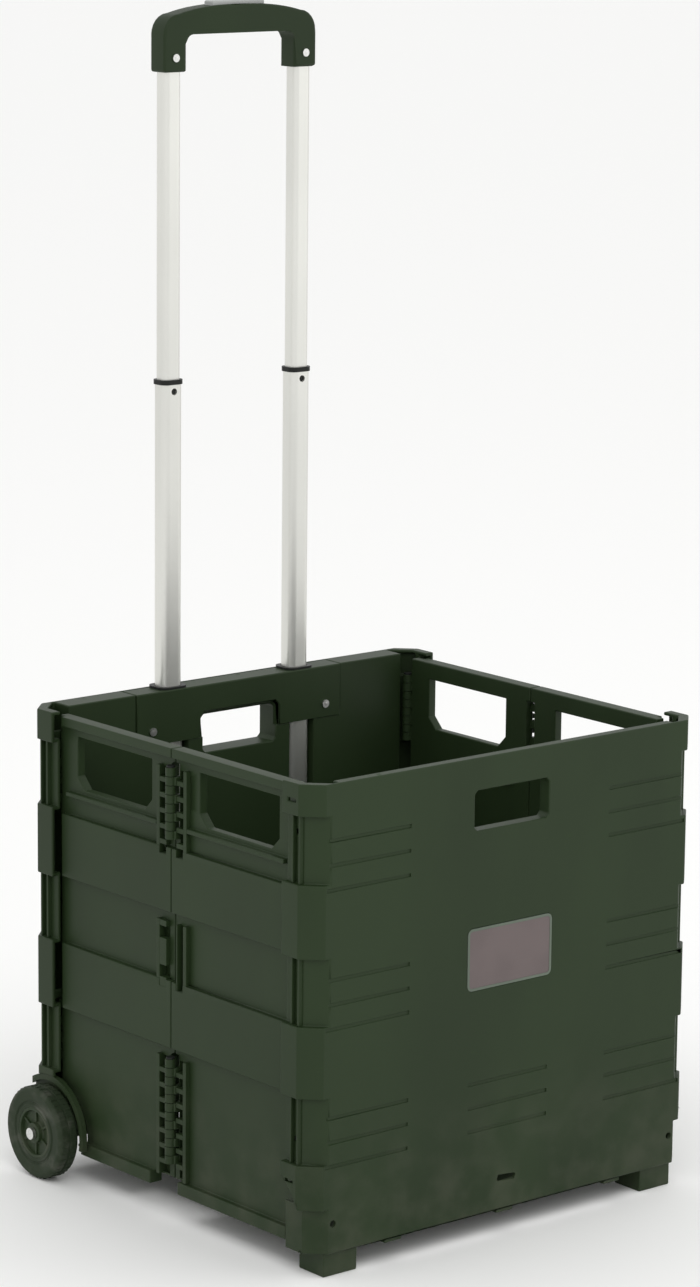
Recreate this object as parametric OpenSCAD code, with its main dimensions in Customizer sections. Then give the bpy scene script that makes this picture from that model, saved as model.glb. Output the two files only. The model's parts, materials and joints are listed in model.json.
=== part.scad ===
// Folding crate trolley: two moulded trays joined by four folding side panels, a hinged floor,
// a three-stage telescopic handle and two wheels. Millimetres, +Z up, front face towards -Y.

/* [Crate] */
// Overall width across the corner bands
crate_w = 420; // [390:1:520]
// Depth from the front face to the back face
crate_d = 378; // [340:1:460]
// Height of the tray rims above the ground
rim_z = 404; // [396:1:480]
// Depth of each tray's side flange
tray_t = 36; // [32:1:44]
// Corner chamfer leg
corner = 15; // [8:1:22]
// Wall thickness of the mouldings
wall = 3; // [2:0.5:4]
// How far the recesses lie behind the bands
step = 6; // [3:0.5:8]
// Height of the front tray's lower edge
front_low = 20; // [16:1:22]
// Height of the lower edge of the back tray and the side panels
side_low = 25; // [24:1:40]

/* [Side panels] */
// Thickness of a side panel over its bands
side_t = 13; // [11:0.5:16]
// Thickness of the plate between the bands
core_t = 8; // [5:0.5:9]
// Angle through which the end hinges fold
fold_angle = 88; // [80:1:88]
// Gap from the crate's outer width to the plane where the side panels meet when folded
side_inset = 8; // [7:0.5:12]
// Distance from a tray's outer face to its hinge axis
hinge_back = 26; // [24:0.5:30]
// Length of a side window
window_l = 102; // [60:1:120]
// Height of the side windows
window_h = 44; // [30:1:50]
// Height of the lower edge of the side windows
window_z = 341; // [325:1:345]
// Distance of the side windows from the middle hinges
window_y = 32; // [26:1:36]

/* [Hinges] */
// Radius of the hinge barrels
barrel_r = 4.5; // [4:0.1:5]
// Radius of the hinge pins
pin_r = 1.6; // [1.2:0.1:2]
// Running clearance round a pin
pin_gap = 0.06; // [0.02:0.01:0.1]
// Height taken by one barrel along a hinge
barrel_pitch = 7.5; // [6:0.5:9]

/* [Front details] */
// Width of the hand slots in the front and back walls
slot_w = 80; // [60:1:100]
// Height of the hand slots
slot_h = 33; // [25:1:38]
// Height of the slots' lower edge
slot_z = 344; // [330:1:350]
// Corner cut of the hand slots
slot_corner = 3; // [1:0.5:8]
// Width of the blank label plate
label_w = 91; // [60:1:110]
// Height of the label plate
label_h = 52; // [40:1:60]
// Height of the label's lower edge
label_z = 211; // [190:1:230]
// Outer edge of a front foot from the middle
foot_x = 190; // [170:1:192]
// Width of a foot
foot_w = 34.5; // [25:0.5:40]
// Depth of a foot
foot_d = 31; // [20:1:34]

/* [Floor] */
// Thickness of the floor plate
floor_t = 2.7; // [2:0.1:3]
// Gap between the floor's upper face and the side panels above it
floor_gap = 1.8; // [1:0.1:3]
// Height of the floor's ribs
rib_h = 7; // [4:0.5:8]

/* [Handle] */
// Half the distance between the two tube columns
tube_x = 69.5; // [60:0.5:80]
// Distance of the tube centres from the back face
tube_in = 11; // [10.8:0.1:14]
// Width of the upper tubes
tube_w = 18.4; // [16:0.2:20]
// Depth of the upper tubes
tube_h = 14.6; // [13:0.2:15]
// Corner radius of the upper tubes
tube_r = 5; // [3:0.5:6]
// Wall of the tubes
tube_wall = 0.9; // [0.8:0.1:1.2]
// Gap between one tube stage and the next
tube_gap = 0.5; // [0.3:0.1:0.8]
// Height of the middle stage's collars
collar_z = 666; // [640:1:700]
// Height of the grip's leg ends
grip_z = 928; // [900:1:960]
// Rise of the grip above its leg ends
grip_h = 55; // [48:1:65]
// Stroke of the release button
button_stroke = 4; // [3:0.5:5]

/* [Wheels] */
// Wheel radius over the tyre
wheel_r = 40; // [36:0.5:42]
// Tyre width
tyre_w = 20; // [16:0.5:24]
// Radius of the wheel hub inside the tyre
hub_r = 22; // [16:0.5:28]
// Distance from the back face to the wheel axis
wheel_in = 29; // [26:0.5:34]
// Axle radius
axle_r = 4; // [3:0.5:5]
// Running clearance of the wheel on its axle
axle_gap = 0.08; // [0.02:0.01:0.1]

/* [Hidden] */

$fn = 48;
green = [0.18, 0.23, 0.17];
dark = [0.07, 0.08, 0.07];
silver = [0.80, 0.80, 0.78];

// Crate axes and planes
half_w = crate_w / 2;
half_d = crate_d / 2;
fold_x = half_w - side_inset;            // plane where the outer faces meet, through the middle hinges
end_x = fold_x - side_t;                 // inner plane of the sides, through the end hinges
hinge_y = half_d - hinge_back;           // end hinge axes
face_gap = 0.3;                          // each outer face stays this far behind the fold plane
core_x = end_x + core_t;                 // outer face of the plate between the bands
barrel_room = barrel_r + 0.5;            // plates keep this far from a hinge axis that carries barrels
seam = 0.4;                              // half the gap between two panels along the middle hinge
side_top = rim_z - 4;
rear_lip = 28;                           // the lower lips start this far from the middle hinge
front_lip = 9;
middle_y = (wheel_r - wheel_in) / 2;     // half of the wheels' overhang behind the back face

// Heights of the raised bands, measured down from the rim as on the moulding
tray_bands = [[rim_z - 26, rim_z], [rim_z - 141, rim_z - 81], [rim_z - 255, rim_z - 196],
    [rim_z - 347, rim_z - 310]];
side_bands = [[side_top - 8, side_top], [side_top - 137, side_top - 83], [side_top - 252, side_top - 195],
    [side_low, side_low + 11]];

// Hinge zones: lower end and number of barrels, always even
mid_zones = [[side_low + 25, 12], [rim_z - 79, 8]];
end_zones = [[side_low + 75, 8], [rim_z - 79, 8]];

// Floor
floor_top = side_low - floor_gap;
floor_axis_y = -half_d + 17;
floor_axis_z = floor_top - floor_t;
floor_x = end_x - barrel_r - 2.5;
floor_end = hinge_y - barrel_r - 3;
floor_pin_r = 2;
floor_lugs = [-120, 0, 120];

// Handle
tube_y = half_d - tube_in;
stage = 2 * (tube_wall + tube_gap);      // growth from one tube stage to the next
mid_w = tube_w + stage;
mid_h = tube_h + stage;
out_w = mid_w + stage;
out_h = mid_h + stage;
outer_low = side_low + 7;
outer_top = rim_z - 6;
bushing_top = rim_z + 2;
collar_h = 4;
middle_low = outer_top - 55;
upper_low = collar_z - 26;
upper_top = grip_z + 30;
lock_z = collar_z - 6;
lock_low_z = middle_low + 22;
lock_l = 4.5;
lock_spring_l = 3.4;
block_h = 30;
bore_end = 3;                            // lock pin bores end this far behind the tube's middle
lock_r = 2.6;
rivet_r = 2;
rivet_x = 95;
cover_x = 112;                           // half width of the cover over the tubes
cover_z = rim_z - 46;
cover_y = half_d - 24;
grip_wall = 2.6;
leg_w = tube_w + 2 * grip_wall;
leg_h = tube_h + 2 * grip_wall;
grip_top = grip_z + grip_h;
shoulder = 16;                           // width of the grip's round shoulders
shoulder_z = grip_z + 30;
bar_low = grip_z + 31;
button_w = 56;
button_d = 12;
button_top = grip_top + 3;
chamber_z = bar_low + 2;
bar_z = chamber_z + button_stroke + 2;   // cross bar between the release rods
bar_t = 4;
rod_r = 1.8;
rod_low = upper_low + block_h + button_stroke + 1;

// Wheels
wheel_y = half_d - wheel_in;
plate_t = 1.2;                           // wheel bracket plate
washer_t = 0.9;
wheel_x = half_w - step + plate_t + washer_t + 0.1;   // inner face of the wheel
screw_r = 1.5;
guard_r = wheel_r + 3;
guard_t = 5;
arch_h = 4.6;                            // the arch stands out by this much
arch_low = 31;                           // and ends at this height
folded_y = hinge_y - 2 * (side_t * sin(fold_angle) + hinge_y * cos(fold_angle));   // front hinges when folded
notch_y = wheel_y - folded_y - hinge_y;  // wheel axis when folded, as the front tray sees it
notch_r = guard_r + guard_t + 1.5;
boss_r = 11;                             // boss in the back tray that carries a stub axle
arch_r = wheel_r - 2;                    // cut in the rear side panels, hidden behind the wheel
bracket_y = 7.5;                           // bracket screws, from the axle
bracket_z = 13;
hub_rim = 3;                             // rim round the dish in the outer face of the hub
cap_r = 5;

// ---------- shared shapes ----------

module left_right() {
    children();
    mirror([1, 0, 0]) children();
}

module tray_plan(side, front, deep) {
    x = half_w - side;
    y = front - half_d;
    polygon([[-x, deep - half_d], [-x, y + corner], [-x + corner, y], [x - corner, y],
        [x, y + corner], [x, deep - half_d]]);
}

module slab(z0, z1) {
    translate([0, 0, z0]) linear_extrude(z1 - z0) children();
}

// A moulded tray with its bands, drawn as the front tray
module tray_shell(low) {
    difference() {
        union() {
            slab(low, rim_z) tray_plan(step, 0, tray_t);
            for (b = tray_bands) slab(b[0], b[1]) tray_plan(0, 0, tray_t);
        }
        slab(low - 1, rim_z + 1) tray_plan(step + wall, wall, tray_t + 1);
        for (b = tray_bands) slab(b[0] + wall, b[1] - wall) tray_plan(wall, wall, tray_t + 1);
    }
    // ribs inside the bands, which the hinge barrels are built on
    left_right() for (b = tray_bands) translate([-half_w + wall - 0.5, -hinge_y - barrel_room, b[0]])
        cube([step + 0.5, barrel_room, b[1] - b[0]]);
}

// Slot outline with cut corners, lying in the XZ plane and running along Y
module cut_slot(w, h, z, bevel, y0, y1) {
    translate([0, y1, 0]) rotate([90, 0, 0]) linear_extrude(y1 - y0)
        polygon([[-w / 2, z + bevel], [-w / 2 + bevel, z], [w / 2 - bevel, z], [w / 2, z + bevel],
            [w / 2, z + h - bevel], [w / 2 - bevel, z + h], [-w / 2 + bevel, z + h], [-w / 2, z + h - bevel]]);
}

// The barrels that one panel owns along a hinge; the web joins each barrel to its panel
module barrels(zones, owner, web_low, web_high) {
    for (zone = zones) for (i = [owner : 2 : zone[1] - 1])
        translate([0, 0, zone[0] + i * barrel_pitch + 0.25]) difference() {
            union() {
                cylinder(r = barrel_r, h = barrel_pitch - 0.5);
                translate([web_low[0], web_low[1], 0])
                    cube([web_high[0] - web_low[0], web_high[1] - web_low[1], barrel_pitch - 0.5]);
            }
            translate([0, 0, -1]) cylinder(r = pin_r + pin_gap, h = barrel_pitch + 2);
        }
}

// Headed pins, one per zone; each head lies on the topmost barrel
module hinge_pins(zones) {
    for (zone = zones) {
        top = zone[0] + zone[1] * barrel_pitch - 0.25;
        translate([0, 0, zone[0] + 0.5]) cylinder(r = pin_r, h = top - zone[0]);
        translate([0, 0, top]) cylinder(r = barrel_r - 0.9, h = 1.6);
    }
}

module rounded(w, h, r) {
    square([w - 2 * r, h], center = true);
    square([w, h - 2 * r], center = true);
    for (x = [-1, 1], y = [-1, 1]) translate([x * (w / 2 - r), y * (h / 2 - r)]) circle(r = r);
}

module at_tube(side) {
    translate([side * tube_x, tube_y, 0]) children();
}

module tube(w, h, r, z0, z1) {
    slab(z0, z1) difference() {
        rounded(w, h, r);
        rounded(w - 2 * tube_wall, h - 2 * tube_wall, r - tube_wall);
    }
}

// Everything is drawn about the crate's middle and shifted so that the origin is the middle of its footprint
module place() {
    translate([0, -middle_y, 0]) children();
}

// ---------- trays ----------

module front_panel() color(green) place() {
    difference() {
        union() {
            tray_shell(front_low);
            slab(rim_z - wall, rim_z) translate([-half_w + 2 * corner, -half_d + 1])
                square([crate_w - 4 * corner, 9]);
            left_right() {
                translate([-foot_x, -half_d + 4, 0]) cube([foot_w, foot_d, front_low + 2]);
                translate([-foot_x, -half_d + wall - 1, front_low]) cube([foot_w, foot_d - 12, 14]);
                translate([-end_x, -hinge_y, 0])
                    barrels(end_zones, 0, [end_x - half_w + step + 1, -barrel_room], [0, 0]);
            }
            for (x = floor_lugs) translate([x - 9, 0, floor_axis_z]) {
                translate([0, -half_d + 1, -4]) cube([18, floor_axis_y + half_d - 1, 8]);
                translate([0, floor_axis_y, 0]) rotate([0, 90, 0]) cylinder(r = 4, h = 18);
            }
            cut_slot(slot_w + 2 * wall, slot_h + 2 * wall, slot_z - wall, slot_corner + 1.5, -half_d + 1, -half_d + 12);
        }
        cut_slot(slot_w, slot_h, slot_z, slot_corner, -half_d - 1, -half_d + 13);
        cut_slot(20, 5, front_low + 24, 1.5, -half_d - 1, -half_d + wall + 1);
        cut_slot(label_w + 0.6, label_h + 0.6, label_z - 0.3, 4, -half_d - 1, -half_d + 1.2);
        left_right() translate([-foot_x + 6, -half_d - 1, front_low + 25]) rotate([-90, 0, 0])
            cylinder(r = 3, h = wall + 2);
        translate([-crate_w, floor_axis_y, floor_axis_z]) rotate([0, 90, 0])
            cylinder(r = floor_pin_r + pin_gap, h = 2 * crate_w);
        left_right() translate([half_w - step - 0.4, notch_y, wheel_r]) rotate([0, 90, 0])
            cylinder(r = notch_r, h = 2 * step);
        for (z = [rim_z - 44, rim_z - 157, rim_z - 270], x = [-150, 150]) louvres(x, z);
        louvres(0, rim_z - 270);
    }
}

// Three shallow grooves
module louvres(x, z) {
    for (i = [0 : 2]) translate([x - 43, -half_d - 1, z - 20 * i - 3]) cube([86, 2, 3]);
}

module back_panel() color(green) place() {
    difference() {
        union() {
            mirror([0, 1, 0]) tray_shell(side_low);
            left_right() {
                // channel round each tube: two ribs and a bulge behind the tube
                translate([tube_x - out_w / 2 - 4, cover_y + 1, side_low])
                    cube([2.5, hinge_back - 6, cover_z - side_low]);
                translate([tube_x + out_w / 2 + 1.5, cover_y + 1, side_low])
                    cube([2.5, hinge_back - 6, cover_z - side_low]);
                translate([tube_x - out_w / 2 - 4, half_d - wall, side_low])
                    cube([out_w + 8, wall, rim_z - side_low]);
                // inner skin beside the channels
                translate([tube_x + out_w / 2 + 1.5, cover_y + 1, side_low])
                    cube([end_x - barrel_r - 4 - tube_x - out_w / 2, 2.5, rim_z - side_low - wall]);
                translate([cover_x + 0.6, cover_y + 1, rim_z - wall])
                    cube([end_x - barrel_r - 4 - cover_x, half_d - cover_y - 2, wall]);
                translate([end_x - barrel_r - 4, cover_y + 1, side_low])
                    cube([2.5, hinge_back - 4, rim_z - side_low]);
                translate([end_x, hinge_y, 0])
                    barrels(end_zones, 1, [0, 0], [half_w - step - 1 - end_x, barrel_room]);
                // boss that carries the stub axle
                translate([end_x + 5, wheel_y, wheel_r]) rotate([0, 90, 0])
                    cylinder(r = boss_r, h = half_w - step - end_x - 5);
            }
            translate([-tube_x + out_w / 2 + 1.5, cover_y + 1, side_low])
                cube([2 * tube_x - out_w - 3, 2.5, rim_z - side_low - wall]);
            // frame of the hand slot
            cut_slot(slot_w + 2 * wall, slot_h + 2 * wall, slot_z - wall, slot_corner + 1.5, cover_y + 1, half_d - 1);
        }
        left_right() {
            translate([tube_x, tube_y, side_low - 1]) linear_extrude(rim_z)
                square([out_w + 2, out_h + 1], center = true);
            translate([half_w - step, wheel_y, wheel_r]) rotate([0, 90, 0])
                cylinder(r = guard_r + guard_t + 0.2, h = 20);
            translate([end_x, wheel_y, wheel_r]) rotate([0, 90, 0]) cylinder(r = axle_r, h = 40);
            bracket_holes(end_x, 40);
        }
        cut_slot(slot_w, slot_h, slot_z, slot_corner, cover_y - 1, half_d + 1);
        // room for the separate cover at the top of the inner face
        translate([-cover_x - 0.5, cover_y - 1, cover_z]) cube([2 * cover_x + 1, 5, rim_z]);
        translate([-cover_x - 0.5, cover_y - 1, rim_z - 3.6])
            cube([2 * cover_x + 1, half_d - cover_y - wall + 0.6, 5]);
    }
}

// ---------- folding sides ----------

module side_half(rear, mid_owner) {
    low_y = seam;
    high_y = hinge_y - barrel_room;
    flange_y = half_d - tray_t - 2;
    outer = fold_x - face_gap;
    difference() {
        union() {
            translate([-core_x, low_y, side_low]) cube([core_t, high_y - low_y, side_top - side_low]);
            for (b = side_bands) translate([-outer, low_y, b[0]])
                cube([outer - end_x, flange_y - low_y, b[1] - b[0]]);
            // frame round the window
            translate([-outer, window_y - 12, window_z - 8]) cube([outer - end_x, window_l + 23, 4]);
        }
        window();
        for (zone = mid_zones) translate([-fold_x - 1, -1, zone[0] - 0.5])
            cube([side_t + 2, barrel_room + 1, zone[1] * barrel_pitch + 3]);
        // the rear halves are cut away behind the wheels
        if (rear) translate([-fold_x - 1, wheel_y, wheel_r]) rotate([0, 90, 0]) cylinder(r = arch_r, h = side_t + 2);
        // the lower lip stops short of the middle hinge
        translate([-fold_x - 1, -1, side_low - 1]) cube([side_t + 2, 1 + (rear ? rear_lip : front_lip), 12]);
    }
    translate([-fold_x, 0, 0]) barrels(mid_zones, mid_owner, [face_gap, 0], [8, barrel_room + 1]);
    translate([-end_x, hinge_y, 0]) barrels(end_zones, 1 - mid_owner, [-core_t, -barrel_room - 1], [0, 0]);
}

module window() {
    y1 = window_y;
    y2 = y1 + window_l;
    bevel = 10;
    top = window_z + window_h;
    translate([-fold_x - 1, 0, 0]) rotate([90, 0, 90]) linear_extrude(side_t + 2)
        polygon([[y1, window_z + bevel], [y1 + bevel, window_z], [y2 - bevel, window_z], [y2, window_z + bevel],
            [y2, top], [y1, top]]);
}

module rear_left_side() color(green) place() side_half(true, 1);
module rear_right_side() color(green) place() mirror([1, 0, 0]) side_half(true, 1);
module front_left_side() color(green) place() mirror([0, 1, 0]) side_half(false, 0);
module front_right_side() color(green) place() mirror([1, 0, 0]) mirror([0, 1, 0]) side_half(false, 0);

module hinge_pins_at(x, y, zones) color(dark) place() translate([x, y, 0]) hinge_pins(zones);

module mid_hinge_pins_left() hinge_pins_at(-fold_x, 0, mid_zones);
module mid_hinge_pins_right() hinge_pins_at(fold_x, 0, mid_zones);
module back_hinge_pins_left() hinge_pins_at(-end_x, hinge_y, end_zones);
module back_hinge_pins_right() hinge_pins_at(end_x, hinge_y, end_zones);
module front_hinge_pins_left() hinge_pins_at(-end_x, -hinge_y, end_zones);
module front_hinge_pins_right() hinge_pins_at(end_x, -hinge_y, end_zones);

// ---------- floor ----------

module floor_panel() color(green) place() {
    difference() {
        union() {
            translate([-floor_x, floor_axis_y, floor_axis_z]) cube([2 * floor_x, floor_end - floor_axis_y, floor_t]);
            for (x = [-130 : 52 : 130]) translate([x - 1.5, floor_axis_y + 22, floor_axis_z - rib_h])
                cube([3, floor_end - floor_axis_y - 40, rib_h + 1]);
            for (y = [-100, 0, 100]) translate([-131, y - 1.5, floor_axis_z - rib_h]) cube([262, 3, rib_h + 1]);
            for (s = [-1, 1]) translate([s * 60 - 40, floor_axis_y, floor_axis_z]) rotate([0, 90, 0])
                cylinder(r = 3.6, h = 80);
        }
        // clearance round the feet, the lugs and the middle hinges
        left_right() {
            translate([-floor_x - 1, floor_axis_y - 5, floor_axis_z - 9])
                cube([floor_x + foot_w + 5 - foot_x, foot_d - 4, 20]);
            translate([-floor_x - 1, -14, floor_axis_z - 9]) cube([28, 84, 20]);
        }
        for (x = floor_lugs) translate([x - 9.6, floor_axis_y - 5, floor_axis_z - 9]) cube([19.2, 10.2, 20]);
        translate([-floor_x, floor_axis_y, floor_axis_z]) rotate([0, 90, 0])
            cylinder(r = floor_pin_r + pin_gap, h = 2 * floor_x);
    }
}

module floor_hinge_pin() color(dark) place() translate([-135, floor_axis_y, floor_axis_z]) rotate([0, 90, 0])
    cylinder(r = floor_pin_r, h = 270);

// ---------- handle: fixed stage ----------

module tube_cover() color(green) place() {
    difference() {
        union() {
            translate([-cover_x, cover_y, cover_z]) cube([2 * cover_x, 2.4, rim_z - cover_z]);
            translate([-cover_x, cover_y, rim_z - 3]) cube([2 * cover_x, half_d - cover_y - wall, 3]);
        }
        cut_slot(slot_w + 2 * wall + 1, slot_h + 2 * wall + 1, slot_z - wall - 0.5, slot_corner + 1.5, cover_y - 1, cover_y + 4);
        left_right() {
            at_tube(1) slab(rim_z - 5, rim_z + 1) rounded(out_w + 0.6, out_h + 0.6, tube_r + stage);
            translate([rivet_x, cover_y - 1, cover_z + 12]) rotate([-90, 0, 0]) cylinder(r = rivet_r, h = 5);
        }
    }
}

module cover_rivets() color(silver) place() left_right() translate([rivet_x, cover_y - 1.2, cover_z + 12])
    rotate([-90, 0, 0]) {
        cylinder(r = 3.6, h = 1.2);
        cylinder(r = rivet_r, h = 3.6);
    }

module outer_tube(side) color(silver) place() at_tube(side) difference() {
    tube(out_w, out_h, tube_r + stage, outer_low, outer_top);
    translate([0, -out_h / 2 - 1, lock_low_z]) rotate([-90, 0, 0]) cylinder(r = lock_r + 0.3, h = 5);
}
module outer_tube_left() outer_tube(-1);
module outer_tube_right() outer_tube(1);

module outer_tube_plugs() color(dark) place() left_right() at_tube(1) {
    slab(outer_low, outer_low + 14) rounded(out_w - 2 * tube_wall, out_h - 2 * tube_wall, tube_r + stage - tube_wall);
    slab(side_low, outer_low) square([out_w + 2, out_h + 1], center = true);
}

module rim_bushing(side) color(dark) place() at_tube(side) {
    difference() {
        union() {
            slab(outer_top, rim_z) rounded(out_w, out_h, tube_r + stage);
            slab(rim_z, bushing_top) rounded(out_w + 5, out_h + 4, tube_r + stage);
        }
        slab(outer_top - 1, bushing_top + 1)
            rounded(mid_w + 2 * tube_gap, mid_h + 2 * tube_gap, tube_r + stage / 2 + tube_gap);
    }
}
module rim_bushing_left() rim_bushing(-1);
module rim_bushing_right() rim_bushing(1);

// ---------- handle: middle stage ----------

module middle_tube(side) color(silver) place() at_tube(side) difference() {
    tube(mid_w, mid_h, tube_r + stage / 2, middle_low, collar_z);
    for (z = [lock_z, lock_low_z]) translate([0, -mid_h / 2 - 1, z]) rotate([-90, 0, 0])
        cylinder(r = lock_r + 0.3, h = 5);
}
module middle_tube_left() middle_tube(-1);
module middle_tube_right() middle_tube(1);

module middle_collar(side) color(dark) place() at_tube(side) slab(collar_z, collar_z + collar_h) difference() {
    rounded(mid_w + 1.6, mid_h + 1.6, tube_r + stage / 2);
    rounded(tube_w + 2 * tube_gap, tube_h + 2 * tube_gap, tube_r + tube_gap);
}
module middle_collar_left() middle_collar(-1);
module middle_collar_right() middle_collar(1);

// Guide block in the lower end of a stage, bored for its lock pin and spring
module guide_block(w, h, r, low, pin_z) {
    difference() {
        slab(low, low + block_h) rounded(w - 2 * tube_wall, h - 2 * tube_wall, r - tube_wall);
        translate([0, -h, pin_z]) rotate([-90, 0, 0]) cylinder(r = lock_r + 0.1, h = h + bore_end);
    }
}

// Lock pin whose tip stands just proud of its own tube
module lock_pin(h, z) {
    translate([0, -h / 2 - 0.1, z]) rotate([-90, 0, 0]) cylinder(r = lock_r, h = lock_l);
}

module lock_spring(z) {
    translate([0, bore_end - lock_spring_l, z]) rotate([-90, 0, 0]) difference() {
        cylinder(r = lock_r - 0.3, h = lock_spring_l);
        translate([0, 0, -1]) cylinder(r = lock_r - 1, h = lock_spring_l + 2);
    }
}

module middle_plugs() color(dark) place() left_right() at_tube(1)
    guide_block(mid_w, mid_h, tube_r + stage / 2, middle_low, lock_low_z);

module upper_plugs() color(dark) place() left_right() at_tube(1)
    guide_block(tube_w, tube_h, tube_r, upper_low, lock_z);

// ---------- handle: upper stage ----------

module upper_tube(side) color(silver) place() at_tube(side) difference() {
    tube(tube_w, tube_h, tube_r, upper_low, upper_top);
    translate([0, -tube_h / 2 - 1, lock_z]) rotate([-90, 0, 0]) cylinder(r = lock_r + 0.1, h = 5);
    translate([0, -tube_h / 2 - 1, grip_z + 12]) rotate([-90, 0, 0]) cylinder(r = rivet_r, h = 5);
}
module upper_tube_left() upper_tube(-1);
module upper_tube_right() upper_tube(1);

module lock_pins_upper() color(dark) place() left_right() at_tube(1) lock_pin(tube_h, lock_z);
module lock_pins_middle() color(dark) place() left_right() at_tube(1) lock_pin(mid_h, lock_low_z);
module lock_springs_upper() color(silver) place() left_right() at_tube(1) lock_spring(lock_z);
module lock_springs_middle() color(silver) place() left_right() at_tube(1) lock_spring(lock_low_z);

function grip_arch(x) = grip_top - (grip_h - 43) * pow(abs(x) / (tube_x + leg_w / 2), 2.6);

module grip_outline() {
    edge = tube_x + leg_w / 2;
    inner = edge - leg_w;
    rise = grip_arch(edge - shoulder) - shoulder_z;
    polygon(concat(
        [[-edge, grip_z]],
        [for (a = [0 : 15 : 75]) [-edge + shoulder * (1 - cos(a)), shoulder_z + rise * sin(a)]],
        [for (i = [-12 : 12]) let (x = i / 12 * (edge - shoulder)) [x, grip_arch(x)]],
        [for (a = [75 : -15 : 0]) [edge - shoulder * (1 - cos(a)), shoulder_z + rise * sin(a)]],
        [[edge, grip_z], [inner, grip_z]],
        [for (a = [0 : 18 : 90]) [inner - 7 + 7 * cos(a), bar_low - 7 + 7 * sin(a)]],
        [for (a = [90 : 18 : 180]) [-inner + 7 + 7 * cos(a), bar_low - 7 + 7 * sin(a)]],
        [[-inner, grip_z]]));
}

module grip() color(green) place() difference() {
    translate([0, tube_y + leg_h / 2, 0]) rotate([90, 0, 0]) linear_extrude(leg_h) grip_outline();
    left_right() {
        at_tube(1) slab(grip_z - 1, upper_top + 2) rounded(tube_w, tube_h, tube_r);
        translate([tube_x, tube_y - leg_h, grip_z + 12]) rotate([-90, 0, 0])
            cylinder(r = rivet_r, h = 2 * leg_h);
    }
    // chamber for the button, its spring and the cross bar of the release rods
    translate([-tube_x - 4, tube_y - 4, chamber_z]) cube([2 * tube_x + 8, 8, bar_z + bar_t + 0.3 - chamber_z]);
    translate([-button_w / 2 - 0.5, tube_y - button_d / 2 - 0.5, bar_z]) cube([button_w + 1, button_d + 1, grip_h]);
    left_right() at_tube(1) translate([0, 0, grip_z]) cylinder(r = rod_r + 0.6, h = bar_z - grip_z);
}

module grip_rivets() color(silver) place() left_right() at_tube(1) translate([0, -leg_h / 2 - 1.2, grip_z + 12])
    rotate([-90, 0, 0]) {
        cylinder(r = 3.4, h = 1.2);
        cylinder(r = rivet_r, h = grip_wall + tube_wall + 2.2);
    }

module release_button() color([0.55, 0.56, 0.55]) place()
    translate([-button_w / 2, tube_y - button_d / 2, bar_z + bar_t])
        cube([button_w, button_d, button_top - bar_z - bar_t]);

module release_rods() color(silver) place() {
    translate([-tube_x - 3, tube_y - 3, bar_z]) cube([2 * tube_x + 6, 6, bar_t]);
    left_right() at_tube(1) translate([0, 0, rod_low]) cylinder(r = rod_r, h = bar_z + 1 - rod_low);
}

module button_spring() color(silver) place() translate([0, tube_y, chamber_z]) difference() {
    cylinder(r = 3.5, h = bar_z - chamber_z);
    translate([0, 0, -1]) cylinder(r = 2.5, h = bar_z - chamber_z + 2);
}

// ---------- wheels ----------

module wheel_at(side) {
    mirror([side < 0 ? 1 : 0, 0, 0]) translate([0, wheel_y, wheel_r]) rotate([0, 90, 0]) children();
}

// Screw holes of the wheel brackets, above the axle
module bracket_holes(x, l) {
    for (y = [-bracket_y, bracket_y]) translate([x, wheel_y + y, wheel_r + bracket_z]) rotate([0, 90, 0])
        cylinder(r = screw_r, h = l);
}

// Plate against the tray's flange, with a raised arch round the tyre
module wheel_bracket(side) color(green) place() difference() {
    wheel_at(side) {
        translate([0, 0, half_w - step]) intersection() {
            cylinder(r = guard_r + guard_t, h = plate_t);
            translate([-guard_r - 4, -19, -1]) cube([guard_r + 4 + wheel_r - side_low - 2, 44, 4]);
        }
        translate([0, 0, half_w - step + 0.4]) difference() {
            cylinder(r = guard_r + guard_t, h = arch_h);
            translate([0, 0, -1]) cylinder(r = guard_r, h = arch_h + 2);
            translate([wheel_r - arch_low, -100, -1]) cube([200, 200, arch_h + 2]);
            translate([-100, 25, -1]) cube([200, 200, arch_h + 2]);
        }
    }
    wheel_at(side) cylinder(r = axle_r, h = crate_w);
    mirror([side < 0 ? 1 : 0, 0, 0]) bracket_holes(end_x, 40);
}
module wheel_bracket_left() wheel_bracket(-1);
module wheel_bracket_right() wheel_bracket(1);

module bracket_screws() color(silver) place() left_right() for (y = [-bracket_y, bracket_y])
    translate([half_w - step - wall - 1.6, wheel_y + y, wheel_r + bracket_z]) rotate([0, 90, 0]) {
        cylinder(r = 3, h = 1.6);
        cylinder(r = screw_r, h = wall + 1.6 + plate_t);
    }

module axle(side) color(silver) place() wheel_at(side) translate([0, 0, end_x + 6])
    cylinder(r = axle_r, h = wheel_x + tyre_w + 2 - end_x - 6);
module axle_left() axle(-1);
module axle_right() axle(1);

module tyre(side) color([0.16, 0.19, 0.15]) place() wheel_at(side) translate([0, 0, wheel_x])
    rotate_extrude() polygon([[hub_r, 1], [wheel_r - 3, 0], [wheel_r, 3], [wheel_r, tyre_w - 3], [wheel_r - 3, tyre_w],
        [hub_r, tyre_w - 1]]);

module tyre_left() tyre(-1);
module tyre_right() tyre(1);

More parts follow.
